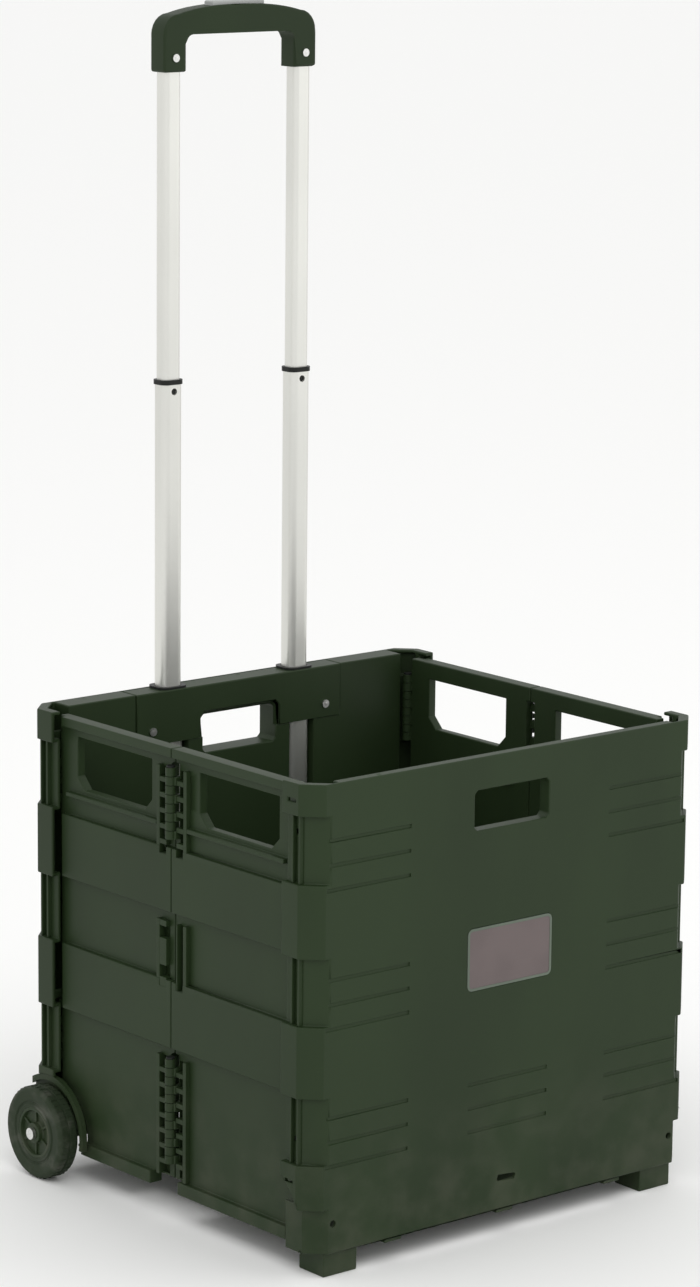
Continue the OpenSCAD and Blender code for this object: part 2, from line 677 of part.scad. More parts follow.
module wheel_hub(side) color(green) place() wheel_at(side) translate([0, 0, wheel_x]) difference() {
    union() {
        translate([0, 0, 2]) cylinder(r = hub_r, h = tyre_w - 4);
        cylinder(r = 9, h = tyre_w);
    }
    translate([0, 0, tyre_w - 5]) difference() {
        cylinder(r = hub_r - hub_rim, h = 6);
        translate([0, 0, -1]) cylinder(r = 10, h = 8);
    }
    translate([0, 0, -1]) cylinder(r = axle_r + axle_gap, h = tyre_w + 2);
}
module wheel_hub_left() wheel_hub(-1);
module wheel_hub_right() wheel_hub(1);

module axle_cap(side) color(silver) place() wheel_at(side) translate([0, 0, wheel_x + tyre_w + 0.4]) difference() {
    cylinder(r = cap_r, h = 3);
    translate([0, 0, -1]) cylinder(r = axle_r, h = 2.6);
}
module axle_cap_left() axle_cap(-1);
module axle_cap_right() axle_cap(1);

module wheel_washer(side) color(silver) place() wheel_at(side)
    translate([0, 0, half_w - step + plate_t]) difference() {
        cylinder(r = 8, h = washer_t);
        translate([0, 0, -1]) cylinder(r = axle_r, h = 3);
    }
module wheel_washer_left() wheel_washer(-1);
module wheel_washer_right() wheel_washer(1);

module label_plate() color([0.45, 0.39, 0.39]) place()
    cut_slot(label_w, label_h, label_z, 4, -half_d, -half_d + 1.2);

back_panel();
front_panel();
floor_panel();
rear_left_side();
front_left_side();
rear_right_side();
front_right_side();
mid_hinge_pins_left();
mid_hinge_pins_right();
back_hinge_pins_left();
back_hinge_pins_right();
front_hinge_pins_left();
front_hinge_pins_right();
floor_hinge_pin();
tube_cover();
cover_rivets();
outer_tube_left();
outer_tube_right();
outer_tube_plugs();
rim_bushing_left();
rim_bushing_right();
middle_tube_left();
middle_tube_right();
middle_collar_left();
middle_collar_right();
middle_plugs();
upper_tube_left();
upper_tube_right();
upper_plugs();
lock_pins_upper();
lock_pins_middle();
lock_springs_upper();
lock_springs_middle();
grip();
grip_rivets();
release_button();
release_rods();
button_spring();
wheel_bracket_left();
wheel_bracket_right();
bracket_screws();
axle_left();
axle_right();
tyre_left();
tyre_right();
wheel_hub_left();
wheel_hub_right();
axle_cap_left();
axle_cap_right();
wheel_washer_left();
wheel_washer_right();
label_plate();
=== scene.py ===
"""Looks of a folding crate trolley, built around its fixed frame.

The frame holds the crate, the folding sides, the floor, the handle and the wheels. This script rounds their
moulded edges, cuts and adds the fine detail, and gives every piece its finish.
"""

import json
import logging
import math
from dataclasses import dataclass
from enum import Enum
from typing import Sequence, Union

import bmesh
import bpy
from mathutils import Euler, Matrix, Vector


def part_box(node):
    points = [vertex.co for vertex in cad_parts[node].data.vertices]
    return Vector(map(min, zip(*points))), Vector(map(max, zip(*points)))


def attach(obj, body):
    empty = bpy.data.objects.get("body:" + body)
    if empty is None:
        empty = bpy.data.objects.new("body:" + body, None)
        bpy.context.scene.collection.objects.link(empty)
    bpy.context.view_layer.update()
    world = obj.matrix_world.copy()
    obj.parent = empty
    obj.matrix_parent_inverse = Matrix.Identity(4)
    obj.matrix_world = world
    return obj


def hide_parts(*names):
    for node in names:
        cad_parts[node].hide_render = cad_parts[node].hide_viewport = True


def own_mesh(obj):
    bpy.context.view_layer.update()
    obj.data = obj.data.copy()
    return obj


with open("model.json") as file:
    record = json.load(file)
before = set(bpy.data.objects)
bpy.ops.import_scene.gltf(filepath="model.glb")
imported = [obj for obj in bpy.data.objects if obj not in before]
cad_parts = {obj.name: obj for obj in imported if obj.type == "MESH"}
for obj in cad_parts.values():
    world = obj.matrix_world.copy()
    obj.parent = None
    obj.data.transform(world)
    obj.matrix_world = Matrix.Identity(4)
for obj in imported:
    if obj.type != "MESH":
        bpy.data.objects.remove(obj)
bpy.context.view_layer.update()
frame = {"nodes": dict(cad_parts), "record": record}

LOG = logging.getLogger("trolley")
MM = 0.001
FLOOR_EDGE = 0.6 * MM
COVER_EDGE = 0.8 * MM
Point = tuple[float, float, float]


class Side(Enum):
    """The two sides of the trolley, with the sign of X on each."""

    LEFT = -1
    RIGHT = 1


class End(Enum):
    """The two halves of a folding side, with the sign of Y on each."""

    FRONT = -1
    REAR = 1


# ---------- shader expressions ----------


class Signal:
    """A shader socket that takes part in Python expressions."""

    def __init__(self, shader: "Shader", socket: bpy.types.NodeSocket) -> None:
        """Wraps a socket of a shader."""
        self.shader = shader
        self.socket = socket

    def _math(self, operation: str, *values: Union["Signal", float]) -> "Signal":
        """Adds one Math node and returns its result."""
        node = self.shader.node("ShaderNodeMath", {"operation": operation}, dict(enumerate(values)))
        return Signal(self.shader, node.outputs[0])

    def __add__(self, other: Union["Signal", float]) -> "Signal":
        """Sum."""
        return self._math("ADD", self, other)

    __radd__ = __add__

    def __rsub__(self, other: float) -> "Signal":
        """Difference from a number."""
        return self._math("SUBTRACT", other, self)

    def __mul__(self, other: Union["Signal", float]) -> "Signal":
        """Product."""
        return self._math("MULTIPLY", self, other)

    def ramp(self, low: float, high: float) -> "Signal":
        """Goes smoothly from 0 at low to 1 at high.

        Args:
            low: value at which the result is 0.
            high: value at which the result is 1.

        Returns:
            The result, between 0 and 1.
        """
        node = self.shader.node("ShaderNodeMapRange", {"interpolation_type": "SMOOTHSTEP", "clamp": True},
                                {"Value": self, "From Min": low, "From Max": high})
        return Signal(self.shader, node.outputs[0])


class Shader:
    """A material whose nodes are written as expressions."""

    def __init__(self, name: str) -> None:
        """Makes an empty material with one Principled shader.

        Args:
            name: the material's name.
        """
        self.material = bpy.data.materials.new(name)
        self.material.use_nodes = True
        self.tree = self.material.node_tree
        self.tree.nodes.clear()
        self.surface = self.node("ShaderNodeBsdfPrincipled")
        self.node("ShaderNodeOutputMaterial", inputs={"Surface": self.surface.outputs[0]})
        self.place = self.node("ShaderNodeTexCoord").outputs["Object"]

    def node(self, kind: str, settings: dict | None = None, inputs: dict | None = None) -> bpy.types.Node:
        """Adds one node.

        Args:
            kind: the node's type.
            settings: the node's own properties, which are set first.
            inputs: values or links of its sockets, by name or number.

        Returns:
            The node.
        """
        node = self.tree.nodes.new(kind)
        for key, value in (settings or {}).items():
            setattr(node, key, value)
        for key, value in (inputs or {}).items():
            socket = node.inputs[key]
            if isinstance(value, Signal):
                self.tree.links.new(value.socket, socket)
            elif isinstance(value, bpy.types.NodeSocket):
                self.tree.links.new(value, socket)
            else:
                socket.default_value = value
        return node

    def noise(self, scale: float, detail: float = 2.0, stretch: Point = (1, 1, 1)) -> Signal:
        """Noise over the piece's own coordinates.

        Args:
            scale: cells per metre.
            detail: octaves.
            stretch: scale along each axis.

        Returns:
            Values round 0.5.
        """
        place = self.node("ShaderNodeMapping", inputs={"Vector": self.place, "Scale": stretch})
        node = self.node("ShaderNodeTexNoise",
                         inputs={"Vector": place.outputs[0], "Scale": scale, "Detail": detail})
        return Signal(self, node.outputs[0])

    def height(self) -> Signal:
        """Height above the ground in metres."""
        return Signal(self, self.node("ShaderNodeSeparateXYZ", inputs={0: self.place}).outputs["Z"])

    def blend(self, factor: Signal, low: Sequence[float] | bpy.types.NodeSocket,
              high: Sequence[float] | bpy.types.NodeSocket) -> bpy.types.NodeSocket:
        """Mixes two colours.

        Args:
            factor: 0 gives low, 1 gives high.
            low: a colour or a colour socket.
            high: a colour or a colour socket.

        Returns:
            The colour socket.
        """
        colour = [c if isinstance(c, bpy.types.NodeSocket) else (*c, 1.0) for c in (low, high)]
        return self.node("ShaderNodeMix", {"data_type": "RGBA"},
                         {0: factor, 6: colour[0], 7: colour[1]}).outputs[2]

    def bump(self, height: Signal, depth: float, strength: float = 1.0) -> None:
        """Feeds the shader's normal from a height.

        Args:
            height: the height field, from 0 to 1.
            depth: metres of relief that 0 to 1 stands for.
            strength: share of the relief that shows.
        """
        node = self.node("ShaderNodeBump", inputs={"Strength": strength, "Distance": depth, "Height": height})
        self.tree.links.new(node.outputs[0], self.surface.inputs["Normal"])

    def set(self, **sockets: Union[Signal, bpy.types.NodeSocket, float, Sequence[float]]) -> None:
        """Sets or links sockets of the Principled shader, named with underscores for spaces."""
        for key, value in sockets.items():
            socket = self.surface.inputs[key.replace("_", " ")]
            if isinstance(value, Signal):
                self.tree.links.new(value.socket, socket)
            elif isinstance(value, bpy.types.NodeSocket):
                self.tree.links.new(value, socket)
            elif isinstance(value, (int, float)):
                socket.default_value = value
            else:
                socket.default_value = (*value, 1.0)


# ---------- finishes ----------


def shade(colour: Point, factor: float) -> Point:
    """A colour made lighter or darker by a factor."""
    return tuple(min(1.0, c * factor) for c in colour)


@dataclass(frozen=True)
class Moulded:
    """Satin moulded plastic with an eroded grain, faint flow marks, scuffs and dust near the ground."""

    name: str
    colour: Point
    roughness: float = 0.46
    grain: float = 2200.0
    relief: float = 0.00009
    dust: float = 0.16
    specular: float = 0.18

    def make(self) -> bpy.types.Material:
        """Builds the material."""
        s = Shader(self.name)
        grain = s.noise(self.grain, 3.0)
        flow = s.noise(9.0, 3.0, (1.0, 1.0, 0.35))
        scuff = s.noise(70.0, 4.0, (1.0, 1.0, 9.0)).ramp(0.66, 0.74)
        low = 1 - s.height().ramp(0.0, 0.16)
        dust = low * s.noise(34.0, 4.0).ramp(0.35, 0.75) * self.dust
        mottled = s.blend(flow.ramp(0.3, 0.7), shade(self.colour, 0.9), shade(self.colour, 1.1))
        worn = s.blend(scuff * 0.22, mottled, shade(self.colour, 2.0))
        dusty = s.blend(dust, worn, (0.16, 0.15, 0.12))
        s.set(Base_Color=dusty, Specular_IOR_Level=self.specular,
              Roughness=flow * 0.12 + (self.roughness - 0.06) + scuff * 0.16 + dust * 0.5)
        s.bump(grain * 0.8 + scuff * 0.2, self.relief, 0.55)
        return s.material


@dataclass(frozen=True)
class Anodised:
    """Drawn aluminium under a clear anodised skin, with fine lines along the tube."""

    name: str
    colour: Point
    roughness: float = 0.3

    def make(self) -> bpy.types.Material:
        """Builds the material."""
        s = Shader(self.name)
        lines = s.noise(2400.0, 3.0, (1.0, 1.0, 0.006))
        cloud = s.noise(22.0, 2.0, (1.0, 1.0, 0.25))
        rub = s.noise(500.0, 2.0, (0.4, 0.4, 1.0)).ramp(0.62, 0.72)
        s.set(Base_Color=s.blend(cloud.ramp(0.3, 0.7), shade(self.colour, 0.93), self.colour), Metallic=0.9,
              Roughness=self.roughness + lines * 0.12 + rub * 0.1)
        s.bump(lines, 0.00003, 0.5)
        return s.material


@dataclass(frozen=True)
class Plated:
    """Bright zinc plating with a faint crystalline mottle."""

    name: str
    colour: Point
    roughness: float = 0.26

    def make(self) -> bpy.types.Material:
        """Builds the material."""
        s = Shader(self.name)
        mottle = s.noise(700.0, 3.0)
        tone = s.blend(mottle.ramp(0.35, 0.65), shade(self.colour, 0.85), self.colour)
        s.set(Base_Color=tone, Metallic=1.0, Roughness=self.roughness + mottle * 0.16)
        s.bump(mottle, 0.00003, 0.4)
        return s.material


@dataclass(frozen=True)
class Tread:
    """Hard tread compound, matt, with grit pressed in where it meets the ground."""

    name: str
    colour: Point

    def make(self) -> bpy.types.Material:
        """Builds the material."""
        s = Shader(self.name)
        grit = s.noise(900.0, 4.0)
        patch = s.noise(45.0, 3.0).ramp(0.45, 0.75)
        s.set(Base_Color=s.blend(patch * 0.45, self.colour, (0.12, 0.12, 0.10)), Roughness=0.6 + grit * 0.2,
              Specular_IOR_Level=0.3)
        s.bump(grit, 0.00012, 0.7)
        return s.material


@dataclass(frozen=True)
class LabelStock:
    """Matt label plate with a fine horizontal brushing."""

    name: str
    colour: Point

    def make(self) -> bpy.types.Material:
        """Builds the material."""
        s = Shader(self.name)
        lines = s.noise(1500.0, 2.0, (0.012, 1.0, 1.0))
        cloud = s.noise(28.0, 3.0)
        s.set(Base_Color=s.blend(cloud.ramp(0.3, 0.7), shade(self.colour, 0.94), shade(self.colour, 1.06)),
              Roughness=0.42 + lines * 0.14, Specular_IOR_Level=0.4)
        s.bump(lines, 0.00002, 0.5)
        return s.material


OLIVE = (0.018, 0.032, 0.012)


class Finishes:
    """Every finish of the trolley by material slot."""

    def __init__(self) -> None:
        """Makes the materials."""
        recipes = {
            "body_plastic": Moulded("olive_polypropylene", OLIVE),
            "floor_plastic": Moulded("olive_floor", shade(OLIVE, 0.85), roughness=0.52, dust=0.08),
            "black_plastic": Moulded("black_nylon", (0.012, 0.013, 0.012), roughness=0.4, dust=0.05),
            "button_plastic": Moulded("grey_button", (0.33, 0.34, 0.33), roughness=0.34, dust=0.0),
            "tube_aluminium": Anodised("anodised_tube", (0.74, 0.74, 0.70)),
            "steel": Plated("zinc_plate", (0.72, 0.72, 0.70)),
            "wheel_plastic": Moulded("olive_wheel", shade(OLIVE, 0.95), roughness=0.42, dust=0.3),
            "tyre": Tread("tread_compound", shade(OLIVE, 0.8)),
            "label": LabelStock("label_stock", (0.115, 0.09, 0.088)),
        }
        self.by_slot = {slot: recipe.make() for slot, recipe in recipes.items()}
        self.grip = Moulded("grip_grain", shade(OLIVE, 0.85), roughness=0.5, grain=1300.0, relief=0.0002,
                            dust=0.0).make()
        self.border = Moulded("label_border", (0.115, 0.14, 0.11), roughness=0.4, dust=0.0).make()


# ---------- meshes ----------


class Mould:
    """Builds and rounds meshes in the frame's coordinates."""

    smooth_angle = math.radians(38)
    crease_angle = math.radians(25)
    flat_angle = math.radians(0.6)
    weld = 2e-6
    lathe_weld = 1e-6
    lathe_sliver = 1e-7
    shortest_edge = 3 * MM
    room_share = 0.4
    broad_area = 4e-4
    broad_corners = 12

    @staticmethod
    def block(low: Sequence[float], high: Sequence[float], radius: float = 0.0) -> bpy.types.Mesh:
        """A block between two corners with rounded edges.

        Args:
            low: lowest corner.
            high: highest corner.
            radius: edge rounding, or 0 for a sharp cutter.

        Returns:
            The mesh.
        """
        bm = bmesh.new()
        bmesh.ops.create_cube(bm, size=1.0)
        size = Vector(high) - Vector(low)
        bm.transform(Matrix.Translation((Vector(high) + Vector(low)) / 2) @ Matrix.Diagonal((*size, 1.0)))
        if radius:
            bmesh.ops.bevel(bm, geom=bm.edges[:], offset=radius, segments=2, profile=0.5, affect="EDGES")
        return Mould.to_mesh(bm, "block")

    @staticmethod
    def to_mesh(bm: bmesh.types.BMesh, name: str) -> bpy.types.Mesh:
        """Turns a working mesh into a kept one, and frees it."""
        mesh = bpy.data.meshes.new(name)
        bm.to_mesh(mesh)
        bm.free()
        return mesh

    @staticmethod
    def lathe(profile: Sequence[tuple[float, float]], centre: Vector, side: Side, steps: int = 96
              ) -> bpy.types.Mesh:
        """Turns a closed profile round an axis along X.

        Args:
            profile: (radius, distance along the axis) points; the distance grows away from the crate.
            centre: the axis point at distance 0.
            side: which way the distance grows.
            steps: number of facets round the axis.

        Returns:
            The closed mesh with its faces outwards.
        """
        bm = bmesh.new()
        rings = []
        for i in range(steps):
            turn = 2 * math.pi * i / steps
            rings.append([bm.verts.new(centre + Vector((side.value * along, radius * math.cos(turn),
                                                        radius * math.sin(turn))))
                          for radius, along in profile])
        for i in range(steps):
            near, far = rings[i], rings[(i + 1) % steps]
            for j in range(len(profile)):
                k = (j + 1) % len(profile)
                bm.faces.new((near[j], near[k], far[k], far[j]))
        bmesh.ops.remove_doubles(bm, verts=bm.verts, dist=Mould.lathe_weld)
        bmesh.ops.dissolve_degenerate(bm, edges=bm.edges, dist=Mould.lathe_sliver)
        bmesh.ops.recalc_face_normals(bm, faces=bm.faces)
        return Mould.to_mesh(bm, "lathe")

    @staticmethod
    def arc(centre: tuple[float, float], radius: float, start: float, end: float, steps: int = 5
            ) -> list[tuple[float, float]]:
        """Points of an arc in the plane, with its angles in degrees."""
        turns = [math.radians(start + (end - start) * i / steps) for i in range(steps + 1)]
        return [(centre[0] + radius * math.cos(t), centre[1] + radius * math.sin(t)) for t in turns]

    @staticmethod
    def applied(mesh: bpy.types.Mesh, *modifiers: tuple[str, dict]) -> bpy.types.Mesh:
        """Applies modifiers to a mesh.

        Args:
            mesh: the mesh.
            modifiers: (type, settings) of each, in order.

        Returns:
            A plain new mesh.
        """
        obj = bpy.data.objects.new("work", mesh)
        bpy.context.scene.collection.objects.link(obj)
        for kind, settings in modifiers:
            modifier = obj.modifiers.new(kind.lower(), kind)
            for key, value in settings.items():
                setattr(modifier, key, value)
        depsgraph = bpy.context.evaluated_depsgraph_get()
        result = bpy.data.meshes.new_from_object(obj.evaluated_get(depsgraph), depsgraph=depsgraph)
        bpy.data.objects.remove(obj)
        return result

    @classmethod
    def dressed(cls, mesh: bpy.types.Mesh) -> bpy.types.Mesh:
        """Smooth shading that keeps creases and flat faces."""
        mesh.shade_smooth()
        mesh.set_sharp_from_angle(angle=cls.smooth_angle)
        for face in mesh.polygons:
            if face.area > cls.broad_area and len(face.vertices) > cls.broad_corners:
                face.use_smooth = False
        return cls.applied(mesh, ("WEIGHTED_NORMAL", {"keep_sharp": True, "weight": 100}))

    @classmethod
    def cut(cls, mesh: bpy.types.Mesh, cutters: Sequence[bpy.types.Mesh]) -> bpy.types.Mesh:
        """Cuts closed meshes out of a mesh, one after another."""
        for cutter in cutters:
            tool = bpy.data.objects.new("cutter", cutter)
            bpy.context.scene.collection.objects.link(tool)
            settings = {"operation": "DIFFERENCE", "solver": "EXACT", "object": tool}
            mesh = cls.applied(mesh, ("BOOLEAN", settings))
            bpy.data.objects.remove(tool)
        return mesh

    @classmethod
    def rounded(cls, node: str, radius: float, cutters: Sequence[bpy.types.Mesh] = (),
                early: bool = False) -> bpy.types.Mesh:
        """A copy of a frame node with its edges rounded, apart from its shortest ones.

        An edge's rounding is at most a set share of the narrower face beside it, so that shallow
        grooves keep their shape.

        Args:
            node: the node's name.
            radius: the largest rounding.
            cutters: closed meshes that are cut out.
            early: whether the cuts come before the rounding, which then rounds their edges too.

        Returns:
            The mesh.

        Raises:
            RuntimeError: a cut left nothing of the mesh.
        """
        bm = bmesh.new()
        bm.from_mesh(frame["nodes"][node].data)
        bmesh.ops.remove_doubles(bm, verts=bm.verts, dist=cls.weld)
        if early:
            cut = cls.cut(cls.to_mesh(bm, node), cutters)
            bm = bmesh.new()
            bm.from_mesh(cut)
            bmesh.ops.remove_doubles(bm, verts=bm.verts, dist=cls.weld)
        bmesh.ops.dissolve_limit(bm, angle_limit=cls.flat_angle, verts=bm.verts, edges=bm.edges)
        width = {f: f.calc_area() / max(e.calc_length() for e in f.edges) for f in bm.faces}
        weight = bm.edges.layers.float.new("bevel_weight_edge")
        for edge in bm.edges:
            if len(edge.link_faces) != 2 or edge.calc_length() < cls.shortest_edge:
                continue
            if edge.calc_face_angle(0.0) > cls.crease_angle:
                room = cls.room_share * min(width[f] for f in edge.link_faces)
                edge[weight] = min(1.0, room / radius)
        mesh = cls.applied(cls.to_mesh(bm, node), ("BEVEL", {
            "width": radius, "segments": 2, "limit_method": "WEIGHT", "use_clamp_overlap": False,
            "offset_type": "OFFSET"}))
        if not early:
            mesh = cls.cut(mesh, cutters)
        if not mesh.polygons:
            raise RuntimeError(f"{node}: a cut left nothing")
        return mesh


# ---------- geometry nodes ----------


class GeometryTree:
    """A Geometry Nodes tree built from named inputs, ending in Realize Instances and Set Material."""

    def __init__(self, name: str, sizes: dict[str, str]) -> None:
        """Starts a tree.

        Args:
            name: the tree's name.
            sizes: each input's name and its socket type, such as Float or Vector.
        """
        self.tree = bpy.data.node_groups.new(name, "GeometryNodeTree")
        self.identifiers = {}
        self.tree.interface.new_socket("Geometry", in_out="INPUT", socket_type="NodeSocketGeometry")
        for key, kind in {**sizes, "Finish": "Material"}.items():
            socket = self.tree.interface.new_socket(key, in_out="INPUT", socket_type=f"NodeSocket{kind}")
            self.identifiers[key] = socket.identifier
        self.tree.interface.new_socket("Geometry", in_out="OUTPUT", socket_type="NodeSocketGeometry")
        self.inputs = self.tree.nodes.new("NodeGroupInput").outputs

    def node(self, kind: str, settings: dict | None = None, inputs: dict | None = None) -> bpy.types.Node:
        """Adds one node, as Shader.node does."""
        node = self.tree.nodes.new(kind)
        for key, value in (settings or {}).items():
            setattr(node, key, value)
        for key, value in (inputs or {}).items():
            if isinstance(value, bpy.types.NodeSocket):
                self.tree.links.new(value, node.inputs[key])
            else:
                node.inputs[key].default_value = value
        return node

    def close(self, geometry: bpy.types.NodeSocket) -> None:
        """Ends the tree on a geometry socket."""
        plain = self.node("GeometryNodeRealizeInstances", inputs={0: geometry})
        finish = self.node("GeometryNodeSetMaterial",
                           inputs={"Geometry": plain.outputs[0], "Material": self.inputs["Finish"]})
        self.node("NodeGroupOutput", inputs={0: finish.outputs[0]})

    def build(self, mesh: bpy.types.Mesh, **values: Union[float, int, Sequence[float], bpy.types.Material]
              ) -> bpy.types.Mesh:
        """Runs the tree on a mesh.

        Args:
            mesh: the mesh that the tree starts from.
            values: the inputs by name.

        Returns:
            The result as a plain mesh.
        """
        obj = bpy.data.objects.new("work", mesh)
        bpy.context.scene.collection.objects.link(obj)
        modifier = obj.modifiers.new("tree", "NODES")
        modifier.node_group = self.tree
        for key, value in values.items():
            modifier[self.identifiers[key]] = value
        depsgraph = bpy.context.evaluated_depsgraph_get()
        result = bpy.data.meshes.new_from_object(obj.evaluated_get(depsgraph), depsgraph=depsgraph)
        obj.modifiers.remove(modifier)
        bpy.data.objects.remove(obj)
        return result


class Repeat(GeometryTree):
    """Lays copies of a mesh along a line, each turned a little further than the last."""

    def __init__(self) -> None:
        """Builds the tree."""
        super().__init__("repeat", {"Count": "Int", "Start": "Vector", "Offset": "Vector", "Turn": "Vector"})
        line = self.node("GeometryNodeMeshLine", {"mode": "OFFSET"},
                         {"Count": self.inputs["Count"], "Start Location": self.inputs["Start"],
                          "Offset": self.inputs["Offset"]})
        index = self.node("GeometryNodeInputIndex")
        turn = self.node("ShaderNodeVectorMath", {"operation": "SCALE"},
                         {0: self.inputs["Turn"], "Scale": index.outputs[0]})
        copies = self.node("GeometryNodeInstanceOnPoints",
                           inputs={"Points": line.outputs[0], "Instance": self.inputs["Geometry"],
                                   "Rotation": turn.outputs[0]})
        self.close(copies.outputs[0])


class Coil(GeometryTree):
    """A round wire wound into a coil spring along +Z."""

    def __init__(self) -> None:
        """Builds the tree."""
        super().__init__("coil", {"Turns": "Float", "Radius": "Float", "Height": "Float", "Wire": "Float",
                                  "Foot": "Vector"})
        path = self.node("GeometryNodeCurveSpiral", inputs={
            "Resolution": 20, "Rotations": self.inputs["Turns"], "Start Radius": self.inputs["Radius"],
            "End Radius": self.inputs["Radius"], "Height": self.inputs["Height"]})
        wire = self.node("GeometryNodeCurvePrimitiveCircle",
                         inputs={"Resolution": 8, "Radius": self.inputs["Wire"]})
        coil = self.node("GeometryNodeCurveToMesh",
                         inputs={0: path.outputs[0], "Profile Curve": wire.outputs[0], "Fill Caps": True})
        placed = self.node("GeometryNodeTransform",
                           inputs={0: coil.outputs[0], "Translation": self.inputs["Foot"]})
        self.close(placed.outputs[0])


# ---------- the trolley ----------


class Workshop:
    """Shared tools: finishes, trees, and the way a mesh becomes a piece of the trolley."""

    def __init__(self) -> None:
        """Makes the finishes and the trees."""
        record = frame["record"]
        self.finishes = Finishes()
        self.repeat = Repeat()
        self.coil = Coil()
        self.body_of = {n: b for b, nodes in record["behaviour"]["bodies"].items() for n in nodes}
        self.slot_of = {s["node"]: s["material_slot"] for s in record["subparts"]}

    def piece(self, name: str, mesh: bpy.types.Mesh, body: str, slot: str,
              finish: bpy.types.Material | None = None, replaces: Sequence[str] = ()) -> bpy.types.Object:
        """Turns a mesh into a piece of the trolley.

        Args:
            name: the piece's name.
            mesh: its mesh, in the frame's coordinates.
            body: the body it rides on.
            slot: the record's material slot.
            finish: its material, or None for the slot's own.
            replaces: frame nodes that it stands for.

        Returns:
            The object.
        """
        mesh = Mould.dressed(mesh)
        mesh.name = name
        mesh.materials.clear()
        mesh.materials.append(finish or self.finishes.by_slot[slot])
        obj = bpy.data.objects.new(name, mesh)
        bpy.context.scene.collection.objects.link(obj)
        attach(obj, body)
        if replaces:
            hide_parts(*replaces)
        LOG.info("%s: %d faces on %s", name, len(mesh.polygons), body)
        return obj

    def round_node(self, node: str, radius: float, cutters: Sequence[bpy.types.Mesh] = (),
                   finish: bpy.types.Material | None = None) -> bpy.types.Object:
        """Replaces a frame node with its own rounded copy.

        Args:
            node: the node.
            radius: the largest edge rounding.
            cutters: closed meshes that are cut out of it.
            finish: its material, or None for the slot's own.

        Returns:
            The object.
        """
        mesh = Mould.rounded(node, radius, cutters, early=True)
        return self.piece(f"{node}_moulded", mesh, self.body_of[node], self.slot_of[node], finish, [node])

    def row(self, mesh: bpy.types.Mesh, count: int, start: Sequence[float],
            offset: Sequence[float] = (0, 0, 0), turn: Sequence[float] = (0, 0, 0)) -> bpy.types.Mesh:
        """Copies of a mesh in a row or a ring.

        Args:
            mesh: one copy, drawn round the origin.
            count: number of copies.
            start: place of the first.
            offset: step from one to the next.
            turn: turn from one to the next, in radians.

        Returns:
            The copies as one mesh.
        """
        return self.repeat.build(mesh, Count=count, Start=start, Offset=offset, Turn=turn,
                                 Finish=self.finishes.by_slot["steel"])


@dataclass
class Trays:
    """The front and back trays, with the fins in their corner recesses."""

    shop: Workshop
    edge: float = 1.1 * MM
    fin_count: int = 2
    fin_pitch: float = 8.5 * MM
    fin_width: float = 2.2 * MM
    fin_stand: float = 3.6 * MM
    fin_inset: float = 17 * MM
    fin_root: float = 0.5 * MM
    fin_round: float = 0.5 * MM
    flange_step: float = 6 * MM
    recess_tops: tuple[float, ...] = (26 * MM, 141 * MM, 255 * MM)
    recess_height: float = 55 * MM
    hole_inset: float = 24 * MM
    hole: tuple[float, float] = (2.2 * MM, 2.2 * MM)
    slit: tuple[float, float] = (5 * MM, 1.5 * MM)
    hole_drops: tuple[float, ...] = (40 * MM, 290 * MM)
    slit_drops: tuple[float, ...] = (14 * MM, 324 * MM)

    def build(self) -> None:
        """Builds both trays."""
        for node, end in (("front_panel", End.FRONT), ("back_panel", End.REAR)):
            self.shop.round_node(node, self.edge, self.pockets(node) if end is End.FRONT else ())
            self.fins(node, end)

    def pockets(self, node: str) -> list[bpy.types.Mesh]:
        """Small holes and slits in the front tray's flanges.

        Args:
            node: the tray.

        Returns:
            Cutters that go through both flanges.
        """
        low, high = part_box(node)
        middle = low.y + self.hole_inset
        past = 1 * MM
        cutters = []
        for (deep, tall), drops in ((self.hole, self.hole_drops), (self.slit, self.slit_drops)):
            for drop in drops:
                cutters.append(Mould.block((low.x - past, middle - deep, high.z - drop - tall),
                                           (high.x + past, middle + deep, high.z - drop + tall)))
        return cutters

    def fins(self, node: str, end: End) -> None:
        """Upright fins in the three recesses of each flange.

        Args:
            node: the tray.
            end: which end it is at.
        """
        low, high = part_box(node)
        outer = low.y if end is End.FRONT else high.y
        inward = -end.value * self.fin_pitch
        for side in Side:
            face = high.x if side is Side.RIGHT else low.x
            wall = face - side.value * self.flange_step
            for level, drop in enumerate(self.recess_tops):
                reach = sorted((-side.value * self.fin_root, side.value * self.fin_stand))
                fin = Mould.block((reach[0], -self.fin_width / 2, -self.recess_height),
                                  (reach[1], self.fin_width / 2, 0), self.fin_round)
                start = (wall, outer - end.value * self.fin_inset, high.z - drop)
                mesh = self.shop.row(fin, self.fin_count, start, (0, inward, 0))
                self.shop.piece(f"{node}_fins_{side.name.lower()}_{level + 1}", mesh,
                                self.shop.body_of[node], "body_plastic")


